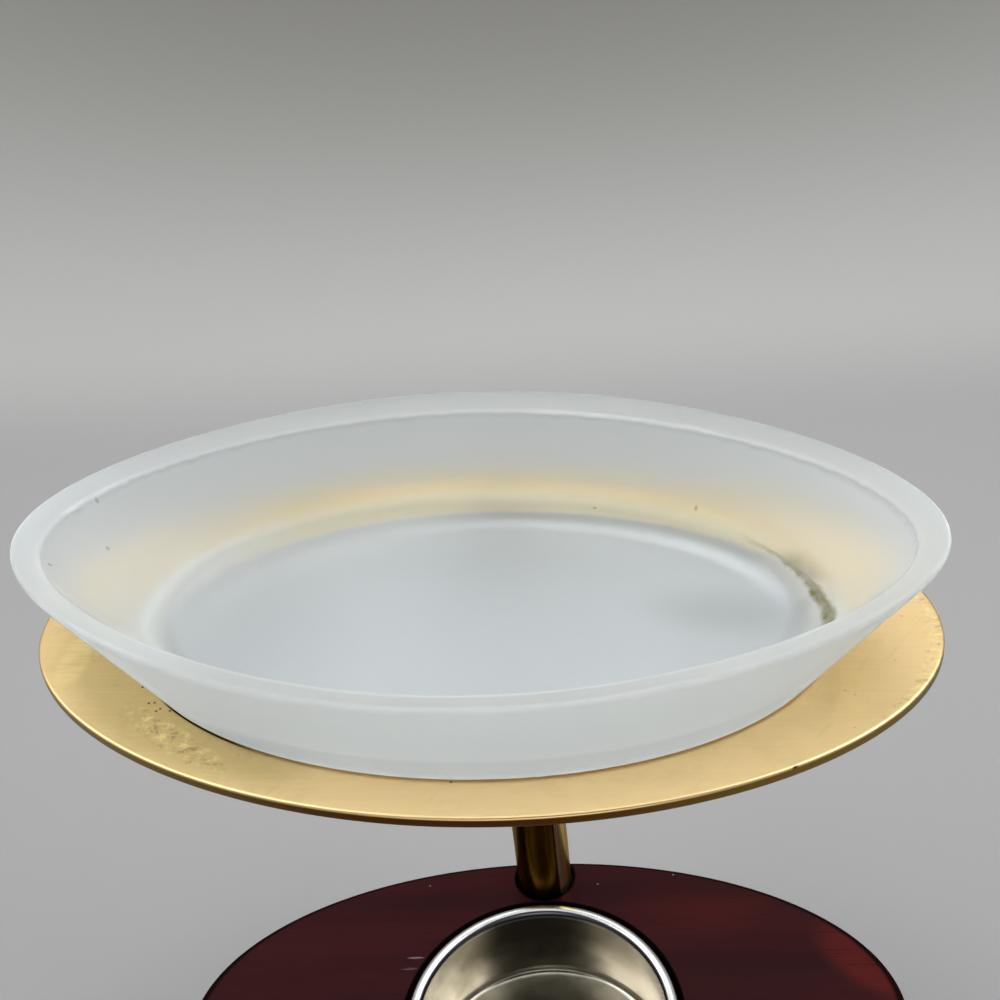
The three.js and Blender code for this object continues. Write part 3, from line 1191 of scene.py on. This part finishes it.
@dataclass
class Hardware:
    """The two screws and the holes that they go through."""

    swivel: Swivel
    post: ScrewSize = ScrewSize(*mm(3.4, 6, 21))
    ring: ScrewSize = ScrewSize(*mm(2.8, 4.6, 12))
    gap: float = 0.05 * MM
    room: float = 3 * MM
    steps: int = 64

    def lay_post(self, grid: np.ndarray) -> np.ndarray:
        """Puts a grid where the post's own screw is."""
        low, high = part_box("post_screw")
        return laid_behind(grid, high.y, (low.z + high.z) / 2)

    def lay_ring(self, grid: np.ndarray) -> np.ndarray:
        """Puts a grid where the ring's screw is."""
        return grid + np.array([0, self.swivel.axis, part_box("ring_screw")[1].z])

    def post_hole(self) -> Piece:
        """Tool for the hole through the post and into the wood."""
        return skin("hole", self.lay_post(turned(self.post.profile(self.gap, self.room), self.steps)))

    def ring_hole(self) -> Piece:
        """Tool for the hole through the ring and into the post."""
        return skin("hole", self.lay_ring(turned(self.ring.profile(self.gap, self.room), self.steps)))

    def build(self) -> None:
        """Builds both screws and dresses them."""
        brass = TurnedBrass().material()
        for node, size, lay in (
            ("post_screw", self.post, self.lay_post),
            ("ring_screw", self.ring, self.lay_ring),
        ):
            piece = skin(node + "_turned", lay(turned(size.profile(), self.steps)))
            carve(piece, [skin("slot", lay(size.slot()))])
            install(piece, Body.BASE, Slot.SCREWS, brass, node)


@dataclass
class BrassRing:
    """The oval plate with an oval hole under the dish."""

    swivel: Swivel
    half_length: float
    half_width: float
    end_width: float = 15.4 * MM
    side_width: float = 7.7 * MM
    edge_round: float = 0.45 * MM
    foot_lap: float = 2.2 * MM
    taper: float = 0.05
    steps: int = 384

    def hole(self) -> Pair:
        """Half length and half width of the hole."""
        return self.half_length - self.end_width, self.half_width - self.side_width

    def rows(self) -> np.ndarray:
        """Ovals of the plate, round its section from the hole's lower edge outwards and back.

        Returns:
            One row for each oval.
        """
        low, high = (corner.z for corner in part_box("ring_plate"))
        soft = self.edge_round
        outer = section(self.half_length, self.half_width, low, self.taper)
        top = outer + [0, 0, 0, high - low]
        mouth = section(*self.hole(), high)
        throat = section(*self.hole(), low)
        return np.vstack([
            straight(throat, drawn_in(outer, soft), 6),
            rounded(drawn_in(outer, soft), outer, drawn_in(outer, 0, soft), 6),
            straight(drawn_in(outer, 0, soft), drawn_in(top, 0, -soft), 3),
            rounded(drawn_in(top, 0, -soft), top, drawn_in(top, soft), 8),
            straight(drawn_in(top, soft), drawn_in(mouth, -soft), 8),
            rounded(drawn_in(mouth, -soft), mouth, drawn_in(mouth, 0, -soft), 6),
            straight(drawn_in(mouth, 0, -soft), throat, 2),
        ])

    def build(self, hardware: Hardware) -> None:
        """Builds the ring, pierced over the post, and dresses it.

        Args:
            hardware: The screws, whose holes are cut.
        """
        piece = skin("ring_brass", self.swivel.carry(loft(self.rows(), self.steps)), closed=True)
        carve(piece, [hardware.ring_hole()])
        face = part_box("ring_plate")[1].z
        foot = tuple(size + self.foot_lap for size in self.hole())
        outline = (self.half_length, self.half_width)
        finish = SatinBrass(self.swivel, face, foot, outline)
        install(piece, Body.PLATE, Slot.BRASS, finish.material(), "ring_plate")


@dataclass
class SupportPost:
    """The round rod that carries the ring."""

    swivel: Swivel
    chamfer: float = 0.5 * MM
    steps: int = 128

    def build(self, hardware: Hardware) -> None:
        """Builds the post with the holes of both screws, and dresses it.

        Args:
            hardware: The screws, whose holes are cut.
        """
        low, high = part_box("support_post")
        radius = (high.x - low.x) / 2
        profile = np.array([
            [0, low.z],
            [radius - self.chamfer, low.z],
            [radius, low.z + self.chamfer],
            [radius, high.z],
            [0, high.z],
        ])
        piece = skin("post_brass", turned(profile, self.steps) + np.array([0, self.swivel.axis, 0]))
        carve(piece, [hardware.post_hole(), hardware.ring_hole()])
        install(piece, Body.BASE, Slot.BRASS, DrawnBrass().material(), "support_post")


@dataclass
class WoodenBase:
    """The oval block with the cup's recess, the post's flute and the screw's pilot hole."""

    swivel: Swivel
    top_round: float = 0.9 * MM
    foot_round: float = 0.6 * MM
    recess_radius: float = 22.4 * MM
    recess_depth: float = 17.0 * MM
    flute_radius: float = 4.65 * MM
    flute_shift: float = 0.05 * MM
    flute_round: float = 0.9 * MM
    mouth_round: float = 0.35 * MM
    mouth_swing: float = 75.0
    mouth_steps: int = 8
    cutter_rise: float = 4 * MM
    cutter_drop: float = 5 * MM
    recess_steps: int = 128
    flute_steps: int = 96
    steps: int = 256

    def axes(self) -> Pair:
        """Half length and half width of the oval."""
        low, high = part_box("wooden_base")
        return high.x, -low.y

    def bore(self, radius: float, floor: float, soft: float) -> np.ndarray:
        """Profile of a round cutter whose mouth at the wood's face is rounded outwards.

        Args:
            radius: The hole's radius.
            floor: Height of its floor.
            soft: Radius of the mouth's edge.

        Returns:
            Points of radius and height.
        """
        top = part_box("wooden_base")[1].z
        lift = soft * math.sin(math.radians(self.mouth_swing))
        end = 180 - self.mouth_swing
        mouth = arc((radius + soft, top - lift), soft, 180, end, self.mouth_steps)
        crown = mouth[-1] + [0, self.cutter_rise]
        return np.vstack([[0, floor], [radius, floor], mouth, crown, crown * [0, 1]])

    def build(self, hardware: Hardware) -> None:
        """Builds the block, cuts it and dresses it.

        Args:
            hardware: The screws, whose holes are cut.
        """
        low, high = (corner.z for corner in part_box("wooden_base"))
        foot = section(*self.axes(), low)
        top = section(*self.axes(), high)
        rows = np.vstack([
            straight(foot * [0, 0, 0, 1], drawn_in(foot, self.foot_round), 2),
            rounded(drawn_in(foot, self.foot_round), foot, drawn_in(foot, 0, self.foot_round), 6),
            straight(drawn_in(foot, 0, self.foot_round), drawn_in(top, 0, -self.top_round), 3),
            rounded(drawn_in(top, 0, -self.top_round), top, drawn_in(top, self.top_round), 8),
            straight(drawn_in(top, self.top_round), top * [0, 0, 0, 1], 2),
            [top * [0, 0, 0, 1]],
        ])
        piece = skin("base_wood", loft(rows, self.steps))
        recess_bore = self.bore(self.recess_radius, high - self.recess_depth, self.mouth_round)
        flute_bore = self.bore(self.flute_radius, low - self.cutter_drop, self.flute_round)
        recess = skin("recess", turned(recess_bore, self.recess_steps))
        back = np.array([0, self.swivel.axis + self.flute_shift, 0])
        flute = skin("flute", turned(flute_bore, self.flute_steps) + back)
        carve(piece, [recess, flute, hardware.post_hole()])
        finish = LacqueredWood(high, self.axes(), (0.0, self.swivel.axis))
        install(piece, Body.BASE, Slot.WOOD, finish.material(), "wooden_base")


@dataclass
class TealightCup:
    """The drawn cup with a rolled bead, standing in the base."""

    wall: float = 0.7 * MM
    corner: float = 1.2 * MM
    bead: float = 0.95 * MM
    crease: float = 0.08 * MM
    corner_steps: int = 10
    bead_steps: int = 40
    steps: int = 256

    def build(self) -> None:
        """Builds the cup and dresses it.

        The profile runs from the middle of the underside up the outside, round the bead and down
        the inside.
        """
        low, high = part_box("tealight_cup")
        middle = high.x - self.bead
        bead_height = high.z - self.bead
        inside, outside = middle - self.wall / 2, middle + self.wall / 2
        floor = low.z + self.wall
        lower = self.corner + self.wall
        swing = math.degrees(math.asin(self.wall / 2 / self.bead))
        neck = bead_height - math.sqrt(self.bead ** 2 - (self.wall / 2) ** 2)
        profile = np.vstack([
            [[0, low.z]],
            arc((outside - lower, low.z + lower), lower, -90, 0, self.corner_steps),
            [[outside, neck - self.crease]],
            arc((middle, bead_height), self.bead, -90 + swing, 270 - swing, self.bead_steps),
            [[inside, neck - self.crease]],
            arc((inside - self.corner, floor + self.corner), self.corner, 0, -90, self.corner_steps),
            [[0.5 * inside, floor], [0, floor]],
        ])
        piece = skin("cup_tin", turned(profile, self.steps))
        finish = DrawnTin(bead_height - self.bead, middle - self.bead)
        install(piece, Body.CUP, Slot.TIN, finish.material(), "tealight_cup")


@dataclass
class FeltPad:
    """The felt glued under the wood."""

    edge_round: float = 0.35 * MM
    steps: int = 256

    def build(self) -> None:
        """Builds the pad and dresses it."""
        low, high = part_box("base_felt")
        foot = section(high.x, high.y, low.z)
        top = section(high.x, high.y, high.z)
        soft = self.edge_round
        rows = np.vstack([
            straight(foot * [0, 0, 0, 1], drawn_in(foot, soft), 4),
            rounded(drawn_in(foot, soft), foot, drawn_in(foot, 0, soft), 5),
            straight(drawn_in(foot, 0, soft), top, 3),
            straight(top, top * [0, 0, 0, 1], 3),
            [top * [0, 0, 0, 1]],
        ])
        piece = skin("felt_pad", loft(rows, self.steps))
        install(piece, Body.BASE, Slot.FELT, PressedFelt().material(), "base_felt")


@dataclass(frozen=True)
class Softbox:
    """A square soft light that faces a point over the floor."""

    name: str
    place: Triple
    size: float
    brightness: float
    spread: float = 180.0
    aim: Triple = (0.0, 0.0, 0.1)

    def build(self) -> None:
        """Makes the light.

        A flat light of brightness 1 gives off pi watts to the square metre. One whose beam a grid
        narrows to a half angle h is brighter along its axis by tan h / (tan h - h), which is taken
        out again.
        """
        half = math.radians(min(self.spread, WIDEST_BEAM)) / 2
        gain = math.tan(half) / (math.tan(half) - half)
        lamp = bpy.data.lights.new(self.name, "AREA")
        lamp.shape = "SQUARE"
        lamp.size = self.size
        lamp.spread = math.radians(self.spread)
        lamp.energy = math.pi * self.size ** 2 * self.brightness / gain
        box = bpy.data.objects.new(self.name, lamp)
        box.location = self.place
        box.visible_camera = False
        box.rotation_mode = "QUATERNION"
        box.rotation_quaternion = (Vector(self.aim) - Vector(self.place)).to_track_quat("-Z", "Y")
        bpy.context.scene.collection.objects.link(box)


@dataclass
class Studio:
    """A pale floor that sweeps up all round, soft lights above, beside and in front, and the camera."""

    floor_radius: float = 0.28
    sweep: float = 0.2
    wall_top: float = 0.34
    sky: float = 0.5
    sky_behind: float = 0.82
    camera_side: float = 0.02
    sky_tone: Tone = tone(250, 251, 252)
    dark_within: Pair = (0.78, 0.93)
    bright_behind: Pair = (0.1, 0.7)
    dark_aim: float = 0.06
    floor_steps: int = 128
    sweep_steps: int = 40
    lights: tuple = (
        Softbox("light_above", (0.0, 0.15, 0.95), 0.9, 1.1),
        Softbox("light_left", (-0.72, 0.0, 0.72), 0.9, 2.1),
        Softbox("light_right", (0.72, 0.0, 0.72), 0.9, 2.5),
        Softbox("light_front", (0.0, -0.4, 0.1), 0.28, 2.0, 80.0),
    )
    azimuth: float = 6.201
    pitch: float = 37.841
    roll: float = -6.625
    place: Triple = mm(18.28, -142.48, 239.66)
    focal_pixels: float = 1561.7
    image_pixels: float = 1000.0
    sensor: float = 36.0
    nearest: float = 0.01

    def camera(self) -> None:
        """Sets the camera at the photograph's view, pitched down and rolled on its own axis."""
        azimuth, pitch, roll = map(math.radians, (self.azimuth, self.pitch, self.roll))
        right = np.array([math.cos(azimuth), math.sin(azimuth), 0])
        level = np.array([-math.sin(azimuth), math.cos(azimuth), 0])
        upright = np.array([0, 0, 1])
        ahead = level * math.cos(pitch) - upright * math.sin(pitch)
        up = level * math.sin(pitch) + upright * math.cos(pitch)
        axes = np.column_stack([
            right * math.cos(roll) + up * math.sin(roll),
            up * math.cos(roll) - right * math.sin(roll),
            -ahead,
        ])
        lens = bpy.data.cameras.new("camera")
        lens.sensor_fit = "HORIZONTAL"
        lens.sensor_width = self.sensor
        lens.lens = self.sensor * self.focal_pixels / self.image_pixels
        lens.clip_start = self.nearest
        camera = bpy.data.objects.new("camera", lens)
        camera.matrix_world = Matrix.Translation(self.place) @ Matrix(axes.tolist()).to_4x4()
        bpy.context.scene.collection.objects.link(camera)
        bpy.context.scene.camera = camera

    def floor(self) -> None:
        """Makes the floor: a disc whose edge sweeps up through a quarter circle to a low wall."""
        curve = arc((self.floor_radius, self.sweep), self.sweep, -90, 0, self.sweep_steps)
        rim = [self.floor_radius + self.sweep, self.wall_top]
        profile = np.vstack([[rim], curve[::-1], [[0, 0]]])
        floor = skin("studio_floor", turned(profile, self.floor_steps))
        floor.data.materials.append(StudioGrey().material())

    def light(self) -> None:
        """Makes the softboxes and an even sky with a dark place where the camera stands."""
        world = bpy.data.worlds.new("sky")
        world.use_nodes = True
        bpy.context.scene.world = world
        recipe = Recipe(world.node_tree)
        toward = (Vector(self.place) - Vector((0, 0, self.dark_aim))).normalized()
        way = Place.of(recipe.node("ShaderNodeTexCoord", output="Generated"))
        facing = way.vector("DOT_PRODUCT", {1: toward}, "Value")
        behind = way.axis("Y").ease(*self.bright_behind)
        strength = self.sky - (self.sky - self.camera_side) * facing.ease(*self.dark_within)
        strength = strength + (self.sky_behind - self.sky) * behind
        sockets = {"Color": self.sky_tone, "Strength": strength}
        sky = recipe.node("ShaderNodeBackground", None, sockets)
        recipe.node("ShaderNodeOutputWorld", None, {"Surface": sky})
        for softbox in self.lights:
            softbox.build()

    def build(self) -> None:
        """Sets up the camera, the floor and the lights."""
        bpy.context.scene.view_settings.view_transform = "Standard"
        self.camera()
        self.floor()
        self.light()


def main() -> None:
    """Builds the burner piece by piece."""
    logging.basicConfig(level=logging.INFO, format="%(name)s: %(message)s")
    Studio().build()
    swivel = Swivel.from_frame()
    hardware = Hardware(swivel)
    base = WoodenBase(swivel)
    ring = BrassRing(swivel, *base.axes())
    GlassDish(swivel, ring.hole()).build()
    ring.build(hardware)
    SupportPost(swivel).build(hardware)
    base.build(hardware)
    TealightCup().build()
    FeltPad().build()
    hardware.build()


if __name__ == "__main__":
    main()
